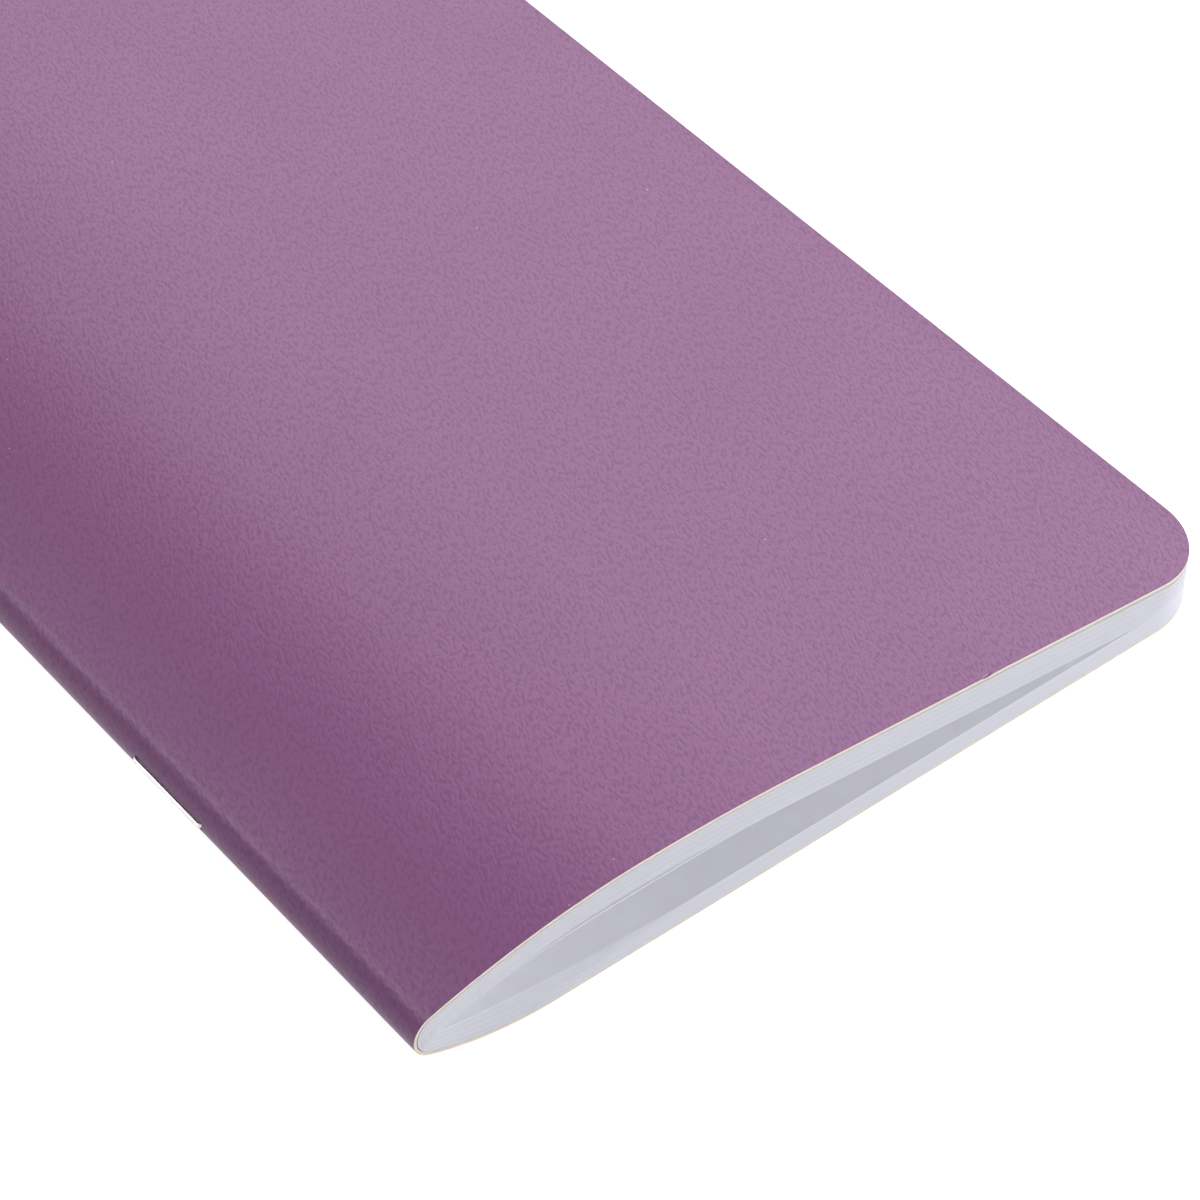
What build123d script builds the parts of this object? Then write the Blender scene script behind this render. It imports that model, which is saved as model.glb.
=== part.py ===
from build123d import *

import os
from dataclasses import dataclass
from math import acos, atan2, cos, degrees, hypot, pi, radians, sin, tan

# A stapled exercise book lying closed on its back cover, in millimetres and degrees.
# +X runs from the spine to the fore-edge, +Y from the tail to the head, +Z up from the table.
# The origin is the middle of the footprint, on the table.

# Trimmed format
BOOK_WIDTH = 110.0
BOOK_LENGTH = 170.0
CORNER_RADIUS = 9.0

# Paper and card
SHEETS = 24
PAPER = 0.095
PAPER_GAP = 0.010
CARD = 0.38
CARD_GAP = 0.02
FOLD_CORE = 0.04
FOLD_SLACK = 0.10

# How the folded block stands when the book lies closed and relaxed
FOLD_LIFT = 3.31
GUTTER = 5.0

# Front half: it springs up from the fold, crowns and falls to the fore-edge,
# where the stiffer cover stands a little off its leaves
FRONT_RISE = 16.0
RISE_SPREAD = 2.0
SHOULDER_RADIUS = 84.0
CROWN_RADIUS = 200.0
LANDING_RADIUS = 60.0
LANDING_LENGTH = 13.0
LANDING_GAP = 0.03
COVER_LIFT = 0.45

# Back half: it dips from the fold and lies flat
BACK_DIP = 11.0
DIP_SPREAD = 14.0
BACK_GAP = 0.012

# Staples, one a quarter of the length from each end
WIRE = 0.50
CROWN_LENGTH = 12.3
CROWN_SEAT = 0.10
CLINCH_LENGTH = 4.6
WIRE_BEND = 0.32
STAPLE_CLEARANCE = 0.03
STAPLE_FROM_END = BOOK_LENGTH / 4

# Stock left beyond the trim before the corners are cut
TRIM_ALLOWANCE = 10.0

# Radii about the fold line, and heights of the closed block
SHEET_PITCH = PAPER + PAPER_GAP
CARD_INNER = FOLD_CORE + SHEETS * SHEET_PITCH + FOLD_SLACK
SPINE_RADIUS = CARD_INNER + CARD
CROWN_PROUD = WIRE - CROWN_SEAT
BACK_PITCH = PAPER + BACK_GAP
BACK_TOP = CARD + CARD_GAP + SHEETS * BACK_PITCH
FRONT_FLOOR = BACK_TOP + LANDING_GAP

# The fold line runs along Y through this point; the staple crowns make the spine side stand out a little
FORE_EDGE = (BOOK_WIDTH + CROWN_PROUD) / 2
FOLD_X = FORE_EDGE - BOOK_WIDTH + SPINE_RADIUS
FOLD_Z = SPINE_RADIUS + FOLD_LIFT
GUTTER_X = FOLD_X + GUTTER


@dataclass
class Folded:
    """One folded sheet in section: its inner face, and its thickness outwards from that face."""

    radius: float  # of the inner face at the fold
    thickness: float
    rise: float  # angle at which the front half leaves the fold
    dip: float  # angle at which the back half leaves it
    front_end: float  # height of the inner face at the fore-edge, front half
    back_top: float  # height of the inner face of the back half
    landing: float  # flat length at the fore-edge, front half


def front_height(place):
    """Height of a front leaf's underside at the fore-edge, by its sheet's place in the nest."""
    return FRONT_FLOOR + place * SHEET_PITCH


def paper_sheet(place):
    """Section of the folded sheet at a place in the nest, 0 for the innermost."""
    share = place / SHEETS
    return Folded(
        radius=FOLD_CORE + place * SHEET_PITCH,
        thickness=PAPER,
        rise=FRONT_RISE + RISE_SPREAD * share,
        dip=BACK_DIP + DIP_SPREAD * share,
        front_end=front_height(place),
        back_top=CARD + CARD_GAP + (SHEETS - place) * BACK_PITCH,
        landing=LANDING_LENGTH * (1 - share),
    )


def card_sheet():
    """Section of the folded cover."""
    return Folded(
        radius=CARD_INNER,
        thickness=CARD,
        rise=FRONT_RISE + RISE_SPREAD,
        dip=BACK_DIP + DIP_SPREAD,
        front_end=front_height(SHEETS) + CARD_GAP + COVER_LIFT,
        back_top=CARD,
        landing=0.0,
    )


def on_circle(centre, radius, angle):
    """Point of a circle at an angle in degrees."""
    return (centre[0] + radius * cos(radians(angle)), centre[1] + radius * sin(radians(angle)))


def arc(centre, radius, first, last):
    """Arc of a circle between two angles in degrees."""
    middle = (first + last) / 2
    return ThreePointArc(
        on_circle(centre, radius, first),
        on_circle(centre, radius, middle),
        on_circle(centre, radius, last),
    )


def folded_face(sheet, out):
    """Edges of the face that lies a distance out from the inner one, from front fore-edge to back."""
    fold = (FOLD_X, FOLD_Z)
    stock_end = FORE_EDGE + TRIM_ALLOWANCE

    rise = radians(sheet.rise)
    shoulder = (FOLD_X + SHOULDER_RADIUS * sin(rise), FOLD_Z - SHOULDER_RADIUS * cos(rise))
    shoulder_radius = SHOULDER_RADIUS + sheet.radius
    crown = (shoulder[0], shoulder[1] + shoulder_radius - CROWN_RADIUS)

    # The fall is the tangent from the corner of the landing to the crown's arc
    corner = (FORE_EDGE - sheet.landing, sheet.front_end)
    reach = (corner[0] - crown[0], corner[1] - crown[1])
    touch = degrees(atan2(reach[1], reach[0]) + acos(CROWN_RADIUS / hypot(*reach)))
    fall = 90 - touch
    landing = (corner[0] + LANDING_RADIUS * tan(radians(fall / 2)), corner[1] + LANDING_RADIUS)
    landing_radius = LANDING_RADIUS - out

    dip = radians(sheet.dip)
    drop = FOLD_Z - sheet.radius * cos(dip) - sheet.back_top
    back_radius = drop / (1 - cos(dip))
    back_reach = back_radius - sheet.radius
    back = (FOLD_X + back_reach * sin(dip), FOLD_Z + back_reach * cos(dip))

    flat_front = on_circle(landing, landing_radius, 270)
    fall_foot = on_circle(landing, landing_radius, 270 - fall)
    fall_head = on_circle(crown, CROWN_RADIUS + out, touch)
    flat_back = on_circle(back, back_radius + out, 270)
    return [
        Line((stock_end, flat_front[1]), flat_front),
        arc(landing, landing_radius, 270, 270 - fall),
        Line(fall_foot, fall_head),
        arc(crown, CROWN_RADIUS + out, touch, 90),
        arc(shoulder, shoulder_radius + out, 90, 90 + sheet.rise),
        arc(fold, sheet.radius + out, 90 + sheet.rise, 270 - sheet.dip),
        arc(back, back_radius + out, 270 - sheet.dip, 270),
        Line(flat_back, (stock_end, flat_back[1])),
    ]


def trim_block():
    """Plan of the trimmed book, with its two rounded fore-edge corners, as tall as the stock needs."""
    left = FOLD_X - 2 * SPINE_RADIUS
    block = Pos((left + FORE_EDGE) / 2, 0, 0) * Box(FORE_EDGE - left, BOOK_LENGTH, 2 * SHOULDER_RADIUS)
    corners = block.edges().filter_by(Axis.Z).group_by(Axis.X)[-1]
    return fillet(corners, CORNER_RADIUS)


def folded_solid(sheet, trim):
    """A folded sheet, extruded along the spine and trimmed with its corners rounded."""
    inner = folded_face(sheet, 0)
    outer = folded_face(sheet, sheet.thickness)
    front_edge = Line(inner[0] @ 0, outer[0] @ 0)
    back_edge = Line(inner[-1] @ 1, outer[-1] @ 1)
    section = make_face(Curve() + [*inner, *outer, front_edge, back_edge])
    stock = extrude(Plane.XZ * section, amount=BOOK_LENGTH / 2, both=True)
    return stock & trim


def gutter_block():
    """The stretch beside the spine where sheets and cover flex when the book opens."""
    width = GUTTER + 2 * SPINE_RADIUS
    return Pos(GUTTER_X - width / 2, 0, FOLD_Z) * Box(width, 2 * BOOK_LENGTH, 2 * SHOULDER_RADIUS)


def split_at_gutter(solid, gutter):
    """Front leaf, fold and back leaf of a folded sheet."""
    leaves = (solid - gutter).solids().sort_by(Axis.Z)
    fold = (solid & gutter).solids()[0]
    return leaves[-1], fold, leaves[0]


def staple(middle, wire):
    """A clinched staple about a point of the spine, of a given wire thickness."""
    half = (CROWN_LENGTH - WIRE) / 2
    crown_x = FOLD_X - SPINE_RADIUS - WIRE / 2 + CROWN_SEAT
    throat = min(FRONT_RISE, BACK_DIP)
    clinch_x = FOLD_X + (WIRE / 2 + STAPLE_CLEARANCE) / sin(radians(throat))
    inward = half - CLINCH_LENGTH
    route = [
        (clinch_x, middle - inward, FOLD_Z),
        (clinch_x, middle - half, FOLD_Z),
        (crown_x, middle - half, FOLD_Z),
        (crown_x, middle + half, FOLD_Z),
        (clinch_x, middle + half, FOLD_Z),
        (clinch_x, middle + inward, FOLD_Z),
    ]
    path = FilletPolyline(*route, radius=WIRE_BEND)
    section = Plane(origin=path @ 0, z_dir=path % 0) * Circle(wire / 2)
    return sweep(section, path=path)


def save(shape, node):
    """Write one node."""
    shape.label = node
    export_step(shape, os.path.join("parts", node + ".step"))


def main():
    """Make every node."""
    os.makedirs("parts", exist_ok=True)
    trim = trim_block()
    gutter = gutter_block()

    middles = [BOOK_LENGTH / 2 - STAPLE_FROM_END, STAPLE_FROM_END - BOOK_LENGTH / 2]
    staples = [staple(middle, WIRE) for middle in middles]
    holes = [staple(middle, WIRE + 2 * STAPLE_CLEARANCE) for middle in middles]
    save(Compound(children=[each.solid() for each in staples]), "staples")

    front_cover, cover_spine, back_cover = split_at_gutter(folded_solid(card_sheet(), trim), gutter)
    save(front_cover, "front_cover")
    save((cover_spine - holes).solid(), "cover_spine")
    save(back_cover, "back_cover")

    folds = []
    for place in range(SHEETS):
        sheet = folded_solid(paper_sheet(place), trim)
        front_leaf, fold, back_leaf = split_at_gutter(sheet, gutter)
        save(front_leaf, f"leaf_{SHEETS - place:02d}")
        save(back_leaf, f"leaf_{SHEETS + 1 + place:02d}")
        folds.append((fold - holes).solid())
    save(Compound(children=folds), "sheet_folds")

    sections = pi * (WIRE / 2) ** 2
    print("staple wire length", round(staples[0].volume / sections, 2))
    print("fold line at", round(FOLD_X, 4), round(FOLD_Z, 4), "gutter at", round(GUTTER_X, 4))


main()
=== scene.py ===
"""A stapled exercise book lying closed on its back cover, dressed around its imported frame.

All sizes are in metres and radians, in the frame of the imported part: +X from the spine to the
fore-edge, +Y from the tail to the head, +Z up from the table.
"""

from __future__ import annotations

import logging
import math
from collections.abc import Callable, Iterator, Sequence
from contextlib import contextmanager
from dataclasses import dataclass, field
from enum import Enum
from functools import cached_property

import bmesh
import bpy
from mathutils import Matrix, Vector

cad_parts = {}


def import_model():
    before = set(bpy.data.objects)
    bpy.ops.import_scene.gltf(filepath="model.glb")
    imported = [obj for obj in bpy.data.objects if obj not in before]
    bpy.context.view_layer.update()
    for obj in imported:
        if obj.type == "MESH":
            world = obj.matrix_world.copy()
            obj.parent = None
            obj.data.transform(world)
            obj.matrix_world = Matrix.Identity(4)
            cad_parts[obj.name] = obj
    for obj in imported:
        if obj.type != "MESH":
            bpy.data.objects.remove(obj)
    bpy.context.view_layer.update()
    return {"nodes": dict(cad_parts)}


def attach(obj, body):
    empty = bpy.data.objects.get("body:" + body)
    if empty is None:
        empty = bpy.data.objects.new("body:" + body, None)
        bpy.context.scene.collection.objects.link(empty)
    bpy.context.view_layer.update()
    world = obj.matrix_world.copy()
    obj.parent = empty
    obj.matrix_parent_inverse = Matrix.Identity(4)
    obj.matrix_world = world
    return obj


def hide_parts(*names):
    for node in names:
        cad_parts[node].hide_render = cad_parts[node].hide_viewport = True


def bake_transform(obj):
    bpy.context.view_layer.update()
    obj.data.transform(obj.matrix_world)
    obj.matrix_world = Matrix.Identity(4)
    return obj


LOG = logging.getLogger("exercise_book")

MM = 0.001
TINY = 1e-7
HALF_TURN = math.pi
RIGHT_ANGLE = math.pi / 2
SKIN_MAP = "developed"

Point = tuple[float, float]
Place = tuple[float, float, float]
Colour = tuple[float, float, float]
Socket = bpy.types.NodeSocket
Piece = bpy.types.Object


class Slot(Enum):
    """Names of the part's material slots."""

    CARD = "cover_card"
    PAPER = "page_paper"


class CardFace(Enum):
    """Which finish a face of the card cover takes, by its place among the piece's materials."""

    COAT = 0
    CORE = 1


class Element(Enum):
    """What is picked on an open piece, and what its mesh calls a list of them."""

    EDGE = "edges"
    FACE = "faces"


class Cut(Enum):
    """How a piece is shaped with another solid."""

    AWAY = "DIFFERENCE"
    WITHIN = "INTERSECT"


def linear(colour: Colour) -> tuple[float, float, float, float]:
    """Turn a colour as seen on a screen into the one a shader works with.

    Args:
        colour: Red, green and blue from 0 to 255.

    Returns:
        Red, green and blue from 0 to 1 in linear light, and an alpha of 1.
    """
    parts = []
    for channel in colour:
        share = channel / 255
        low = share <= 0.04045
        parts.append(share / 12.92 if low else ((share + 0.055) / 1.055) ** 2.4)
    return (parts[0], parts[1], parts[2], 1.0)


# Form of the folded sheets


@dataclass(frozen=True)
class BookForm:
    """Sizes of the closed book and how its two halves lie."""

    width: float = 110.0 * MM
    length: float = 170.0 * MM
    corner: float = 9.0 * MM
    sheets: int = 24
    paper: float = 0.095 * MM
    paper_gap: float = 0.010 * MM
    card: float = 0.38 * MM
    card_gap: float = 0.02 * MM
    fold_core: float = 0.04 * MM
    fold_slack: float = 0.10 * MM
    fold_lift: float = 3.31 * MM
    gutter: float = 5.0 * MM
    front_rise: float = 16.0
    rise_spread: float = 2.0
    shoulder_radius: float = 84.0 * MM
    crown_radius: float = 200.0 * MM
    landing_radius: float = 60.0 * MM
    landing_length: float = 13.0 * MM
    landing_gap: float = 0.03 * MM
    cover_lift: float = 0.45 * MM
    back_dip: float = 11.0
    dip_spread: float = 14.0
    back_gap: float = 0.012 * MM
    wire: float = 0.50 * MM
    crown_seat: float = 0.10 * MM
    end_ease: float = 0.02 * MM
    landing_steps: int = 6
    crown_steps: int = 16
    shoulder_steps: int = 40
    back_steps: int = 24

    @cached_property
    def sheet_pitch(self) -> float:
        """Distance from one sheet to the next in the front half and round the fold."""
        return self.paper + self.paper_gap

    @cached_property
    def back_pitch(self) -> float:
        """Distance from one sheet to the next in the back half."""
        return self.paper + self.back_gap

    @cached_property
    def card_inner(self) -> float:
        """Radius of the cover's inner face at the fold."""
        return self.fold_core + self.sheets * self.sheet_pitch + self.fold_slack

    @cached_property
    def spine_radius(self) -> float:
        """Radius of the cover's outer face at the fold."""
        return self.card_inner + self.card

    @cached_property
    def fore_edge(self) -> float:
        """X of the trimmed fore-edge."""
        return (self.width + self.wire - self.crown_seat) / 2

    @cached_property
    def fold(self) -> Point:
        """X and Z of the fold line that every sheet turns about."""
        return (self.fore_edge - self.width + self.spine_radius, self.spine_radius + self.fold_lift)

    @cached_property
    def gutter_x(self) -> float:
        """X of the plane where the fold strips meet the stiff leaves."""
        return self.fold[0] + self.gutter

    @cached_property
    def front_floor(self) -> float:
        """Height of the lowest front leaf at the fore-edge."""
        return self.card + self.card_gap + self.sheets * self.back_pitch + self.landing_gap

    def front_height(self, place: int) -> float:
        """Height of a front leaf's underside at the fore-edge.

        Args:
            place: The sheet's place in the nest, 0 for the innermost.

        Returns:
            The height above the table.
        """
        return self.front_floor + place * self.sheet_pitch

    def paper_section(self, place: int) -> Section:
        """Section of the folded sheet at a place in the nest.

        Args:
            place: 0 for the innermost sheet.

        Returns:
            The section.
        """
        share = place / self.sheets
        return Section(
            form=self,
            radius=self.fold_core + place * self.sheet_pitch,
            thickness=self.paper,
            rise=math.radians(self.front_rise + self.rise_spread * share),
            dip=math.radians(self.back_dip + self.dip_spread * share),
            front_end=self.front_height(place),
            back_top=self.card + self.card_gap + (self.sheets - place) * self.back_pitch,
            landing=self.landing_length * (1 - share),
        )

    def card_section(self) -> Section:
        """Section of the folded cover.

        Returns:
            The section.
        """
        return Section(
            form=self,
            radius=self.card_inner,
            thickness=self.card,
            rise=math.radians(self.front_rise + self.rise_spread),
            dip=math.radians(self.back_dip + self.dip_spread),
            front_end=self.front_height(self.sheets) + self.card_gap + self.cover_lift,
            back_top=self.card,
            landing=0.0,
        )


@dataclass(frozen=True)
class Section:
    """One folded sheet in section: its inner face, with its thickness outwards from that."""

    form: BookForm
    radius: float
    thickness: float
    rise: float
    dip: float
    front_end: float
    back_top: float
    landing: float

    @cached_property
    def shoulder(self) -> Point:
        """Centre of the arc on which the front half leaves the fold."""
        reach = self.form.shoulder_radius
        fold = self.form.fold
        return (fold[0] + reach * math.sin(self.rise), fold[1] - reach * math.cos(self.rise))

    @cached_property
    def shoulder_inner(self) -> float:
        """Radius of the inner face on the shoulder."""
        return self.form.shoulder_radius + self.radius

    @cached_property
    def crown(self) -> Point:
        """Centre of the arc over the middle of the front half."""
        height = self.shoulder[1] + self.shoulder_inner - self.form.crown_radius
        return (self.shoulder[0], height)

    @cached_property
    def corner(self) -> Point:
        """Where the falling front half would meet its landing at the fore-edge."""
        return (self.form.fore_edge - self.landing, self.front_end)

    @cached_property
    def fall(self) -> float:
        """Slope of the falling front half."""
        reach = (self.corner[0] - self.crown[0], self.corner[1] - self.crown[1])
        lean = math.acos(self.form.crown_radius / math.hypot(*reach))
        return RIGHT_ANGLE - math.atan2(reach[1], reach[0]) - lean

    @cached_property
    def landing_centre(self) -> Point:
        """Centre of the arc that eases the fall into the landing."""
        ease = self.form.landing_radius
        return (self.corner[0] + ease * math.tan(self.fall / 2), self.corner[1] + ease)

    @cached_property
    def fall_run(self) -> Point:
        """The straight step from the landing's arc up to the crown's."""
        ease, bow = self.form.landing_radius, self.form.crown_radius
        lean, height = math.sin(self.fall), math.cos(self.fall)
        foot = (self.landing_centre[0] - ease * lean, self.landing_centre[1] - ease * height)
        head = (self.crown[0] + bow * lean, self.crown[1] + bow * height)
        return (head[0] - foot[0], head[1] - foot[1])

    @cached_property
    def back_radius(self) -> float:
        """Radius of the inner face where the back half comes down from the fold."""
        drop = self.form.fold[1] - self.radius * math.cos(self.dip) - self.back_top
        return drop / (1 - math.cos(self.dip))

    @cached_property
    def back_centre(self) -> Point:
        """Centre of the arc on which the back half leaves the fold."""
        reach = self.back_radius - self.radius
        fold = self.form.fold
        return (fold[0] + reach * math.sin(self.dip), fold[1] + reach * math.cos(self.dip))

    def shoulder_lean(self, x: float) -> float:
        """How far round the shoulder's arc from its top an X lies on the inner face."""
        return math.asin((self.shoulder[0] - x) / self.shoulder_inner)

    def back_lean(self, x: float) -> float:
        """How far round the back arc from its foot an X lies on the inner face."""
        return math.asin((self.back_centre[0] - x) / self.back_radius)

    def front_at(self, x: float) -> float:
        """Height of the inner face of the front half on the shoulder."""
        return self.shoulder[1] + self.shoulder_inner * math.cos(self.shoulder_lean(x))

    def back_at(self, x: float) -> float:
        """Height of the inner face of the back half where it comes down from the fold."""
        return self.back_centre[1] - self.back_radius * math.cos(self.back_lean(x))

    def fall_top(self, x: float) -> float:
        """Height of the outer face of the front half on its straight fall."""
        inner = self.corner[1] + (self.corner[0] - x) * math.tan(self.fall)
        return inner + self.thickness / math.cos(self.fall)

    def front_foot(self, beyond: float) -> Point:
        """Lower end of the upright edge that the front half is swept from.

        Args:
            beyond: How far the stock reaches past the trim.

        Returns:
            Its X and Z.
        """
        return (max(self.landing_centre[0], self.form.fore_edge + beyond), self.front_end)

    def front_runs(self, beyond: float) -> list[Turn | Run]:
        """The front half, from past the fore-edge to just past the gutter.

        Args:
            beyond: How far the stock reaches past the trim at both ends.

        Returns:
            Its turns and straight runs, in order.
        """
        lean = self.shoulder_lean(self.form.gutter_x - beyond)
        flat = self.landing_centre[0] - self.front_foot(beyond)[0]
        landing = [Run((flat, 0))] if flat < 0 else []
        return landing + [
            Turn(self.landing_centre, -self.fall, self.form.landing_steps),
            Run(self.fall_run),
            Turn(self.crown, self.fall, self.form.crown_steps),
            Turn(self.shoulder, lean, self.form.shoulder_steps),
        ]

    def back_foot(self, beyond: float) -> Point:
        """Lower end of the upright edge that the back half is swept from.

        Args:
            beyond: How far the stock reaches past the trim.

        Returns:
            Its X and Z.
        """
        return (self.form.fore_edge + beyond, self.back_top - self.thickness)

    def back_runs(self, beyond: float) -> list[Turn | Run]:
        """The back half, from past the fore-edge to just past the gutter.

        Args:
            beyond: How far the stock reaches past the trim at both ends.

        Returns:
            Its turns and straight runs, in order.
        """
        lean = self.back_lean(self.form.gutter_x - beyond)
        flat = self.back_centre[0] - self.back_foot(beyond)[0]
        return [Run((flat, 0)), Turn(self.back_centre, -lean, self.form.back_steps)]

    def gutter_ends(self) -> tuple[Place, Place]:
        """Where the fold meets the stiff back half, and where it meets the front one."""
        x = self.form.gutter_x
        return (x, 0, self.back_at(x)), (x, 0, self.front_at(x))

    def ease_ends(self, piece: Piece) -> None:
        """Trim a fold's ends a hair shorter towards its front, so that no two parts of an end touch.

        Args:
            piece: The fold.
        """
        low, high = (end[2] for end in self.gutter_ends())
        with Bench.shaping(piece) as shape:
            for vertex in shape.verts:
                if abs(vertex.co.y) > self.form.length / 2 - TINY:
                    share = min(1.0, max(0.0, (vertex.co.z - low) / (high - low)))
                    vertex.co.y -= math.copysign(self.form.end_ease * share, vertex.co.y)
            bmesh.update_edit_mesh(piece.data)

    def fold_foot(self) -> Point:
        """Lower end of the upright edge that the fold is swept from, on top of the shoulder."""
        return (self.shoulder[0], self.shoulder[1] + self.shoulder_inner)

    def fold_runs(self, beyond: float, leave_steps: int, fold_steps: int) -> list[Turn | Run]:
        """The fold, from just past the gutter in front to just past it behind.

        Args:
            beyond: How far the stock reaches past the gutter.
            leave_steps: In how many steps each half leaves the fold.
            fold_steps: In how many steps the fold itself goes round.

        Returns:
            Its turns, the first of which only reaches the gutter.
        """
        reach = self.form.gutter_x + beyond
        start = self.shoulder_lean(reach)
        end = self.back_lean(reach)
        return [
            Turn(self.shoulder, start, 1),
            Turn(self.shoulder, self.rise - start, leave_steps),
            Turn(self.form.fold, HALF_TURN - self.rise - self.dip, fold_steps),
            Turn(self.back_centre, self.dip - end, leave_steps),
        ]


# Work at the bench


class Bench:
    """Modelling by operators: adding, selecting, sweeping, cutting and finishing pieces."""

    @staticmethod
    def clear() -> None:
        """Deselect every object."""
        bpy.ops.object.select_all(action="DESELECT")

    @staticmethod
    def take(piece: Piece) -> None:
        """Make a piece the only selected and the active one.

        Args:
            piece: The piece.
        """
        Bench.clear()
        piece.select_set(True)
        bpy.context.view_layer.objects.active = piece

    @staticmethod
    @contextmanager
    def shaping(piece: Piece) -> Iterator[bmesh.types.BMesh]:
        """Open a piece in edit mode, and close it again.

        Args:
            piece: The mesh object to shape.

        Returns:
            The piece's mesh while it is open.
        """
        Bench.take(piece)
        bpy.ops.object.mode_set(mode="EDIT")
        bpy.ops.mesh.select_mode(type="VERT")
        yield bmesh.from_edit_mesh(piece.data)
        bpy.ops.object.mode_set(mode="OBJECT")

    @staticmethod
    def pick(piece: Piece, element: Element, test: Callable[[object], bool]) -> int:
        """Select the edges or faces of an open piece that pass a test.

        Args:
            piece: A piece in edit mode.
            element: Whether edges or faces are picked.
            test: Says whether one is wanted.

        Returns:
            How many were selected.
        """
        bpy.ops.mesh.select_mode(type=element.name)
        bpy.ops.mesh.select_all(action="DESELECT")
        shape = bmesh.from_edit_mesh(piece.data)
        chosen = [found for found in getattr(shape, element.value) if test(found)]
        for found in chosen:
            found.select_set(True)
        bmesh.update_edit_mesh(piece.data)
        return len(chosen)

    @staticmethod
    def turn_outwards() -> None:
        """Make all faces of the open piece point outwards."""
        bpy.ops.mesh.select_all(action="SELECT")
        bpy.ops.mesh.normals_make_consistent(inside=False)

    @staticmethod
    def settle() -> None:
        """Put the place, turn and size of the selected pieces into their meshes."""
        bpy.ops.object.transform_apply(location=True, rotation=True, scale=True)

    @staticmethod
    def upright_edge(name: str, foot: Point, height: float, y: float) -> Piece:
        """Start a piece as one short upright edge, ready to be swept.

        Args:
            name: Name of the piece.
            foot: X and Z of its lower end.
            height: Its length, the thickness of what is swept from it.
            y: Where along the spine it stands.

        Returns:
            The new piece.
        """
        Bench.clear()
        middle = (foot[0] + height / 2, y, foot[1] + height / 2)
        bpy.ops.mesh.primitive_plane_add(size=height, location=middle, rotation=(RIGHT_ANGLE, 0, 0))
        piece = bpy.context.object
        piece.name = name
        piece.data.name = name
        Bench.settle()
        with Bench.shaping(piece) as shape:
            for vertex in shape.verts:
                vertex.select_set(vertex.co.x > middle[0])
            shape.select_flush(False)
            bmesh.update_edit_mesh(piece.data)
            bpy.ops.mesh.delete(type="VERT")
        return piece

    @staticmethod
    def sweep(piece: Piece, runs: Sequence[Turn | Run], along: float) -> None:
        """Sweep a piece's upright edge through a section, and draw the section out along Y.

        Args:
            piece: A piece that is one upright edge.
            runs: The turns and straight runs of the section, in order.
            along: How far the section is drawn out.
        """
        with Bench.shaping(piece):
            bpy.ops.mesh.select_all(action="SELECT")
            for run in runs:
                run.sweep()
            bpy.ops.mesh.select_all(action="SELECT")
            bpy.ops.mesh.remove_doubles(threshold=TINY)
            bpy.ops.mesh.extrude_region_move(TRANSFORM_OT_translate={"value": (0, along, 0)})
            Bench.turn_outwards()

    @staticmethod
    def trim_at(piece: Piece, x: float) -> None:
        """Cut away what lies beyond a plane across X, and close the cut.

        Args:
            piece: The piece to cut.
            x: Where the plane stands.
        """
        with Bench.shaping(piece):
            bpy.ops.mesh.select_all(action="SELECT")
            bpy.ops.mesh.bisect(
                plane_co=(x, 0, 0),
                plane_no=(1, 0, 0),
                use_fill=True,
                clear_outer=True,
                threshold=TINY,
            )
            Bench.turn_outwards()

    @staticmethod
    def carve(piece: Piece, tool: Piece, cut: Cut) -> None:
        """Shape a piece with another solid.

        Args:
            piece: The piece to shape.
            tool: The solid to shape it with.
            cut: Whether the tool is cut away, or what lies in it is kept.
        """
        Bench.take(piece)
        shaping = piece.modifiers.new("cut", "BOOLEAN")
        shaping.operation = cut.value
        shaping.solver = "EXACT"
        shaping.object = tool
        bpy.ops.object.modifier_apply(modifier=shaping.name)

    @staticmethod
    def discard(tool: Piece) -> None:
        """Throw away a solid that was only a tool."""
        Bench.take(tool)
        bpy.ops.object.delete()

    @staticmethod
    def smooth(piece: Piece, angle: float) -> None:
        """Shade a piece smooth except across edges sharper than an angle."""
        Bench.take(piece)
        bpy.ops.object.shade_smooth_by_angle(angle=angle, keep_sharp_edges=False)


@dataclass(frozen=True)
class Turn:
    """A part of a section that bends about a centre."""

    centre: Point
    angle: float
    steps: int

    def sweep(self) -> None:
        """Spin the selected edge, from +X towards +Z where the angle is positive."""
        bpy.ops.mesh.spin(
            steps=self.steps,
            angle=abs(self.angle),
            center=(self.centre[0], 0, self.centre[1]),
            axis=(0, math.copysign(1, self.angle), 0),
        )


@dataclass(frozen=True)
class Run:
    """A straight part of a section."""

    step: Point

    def sweep(self) -> None:
        """Draw the selected edge out by the step."""
        move = {"value": (self.step[0], 0, self.step[1])}
        bpy.ops.mesh.extrude_region_move(TRANSFORM_OT_translate=move)


# Shader nodes


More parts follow.
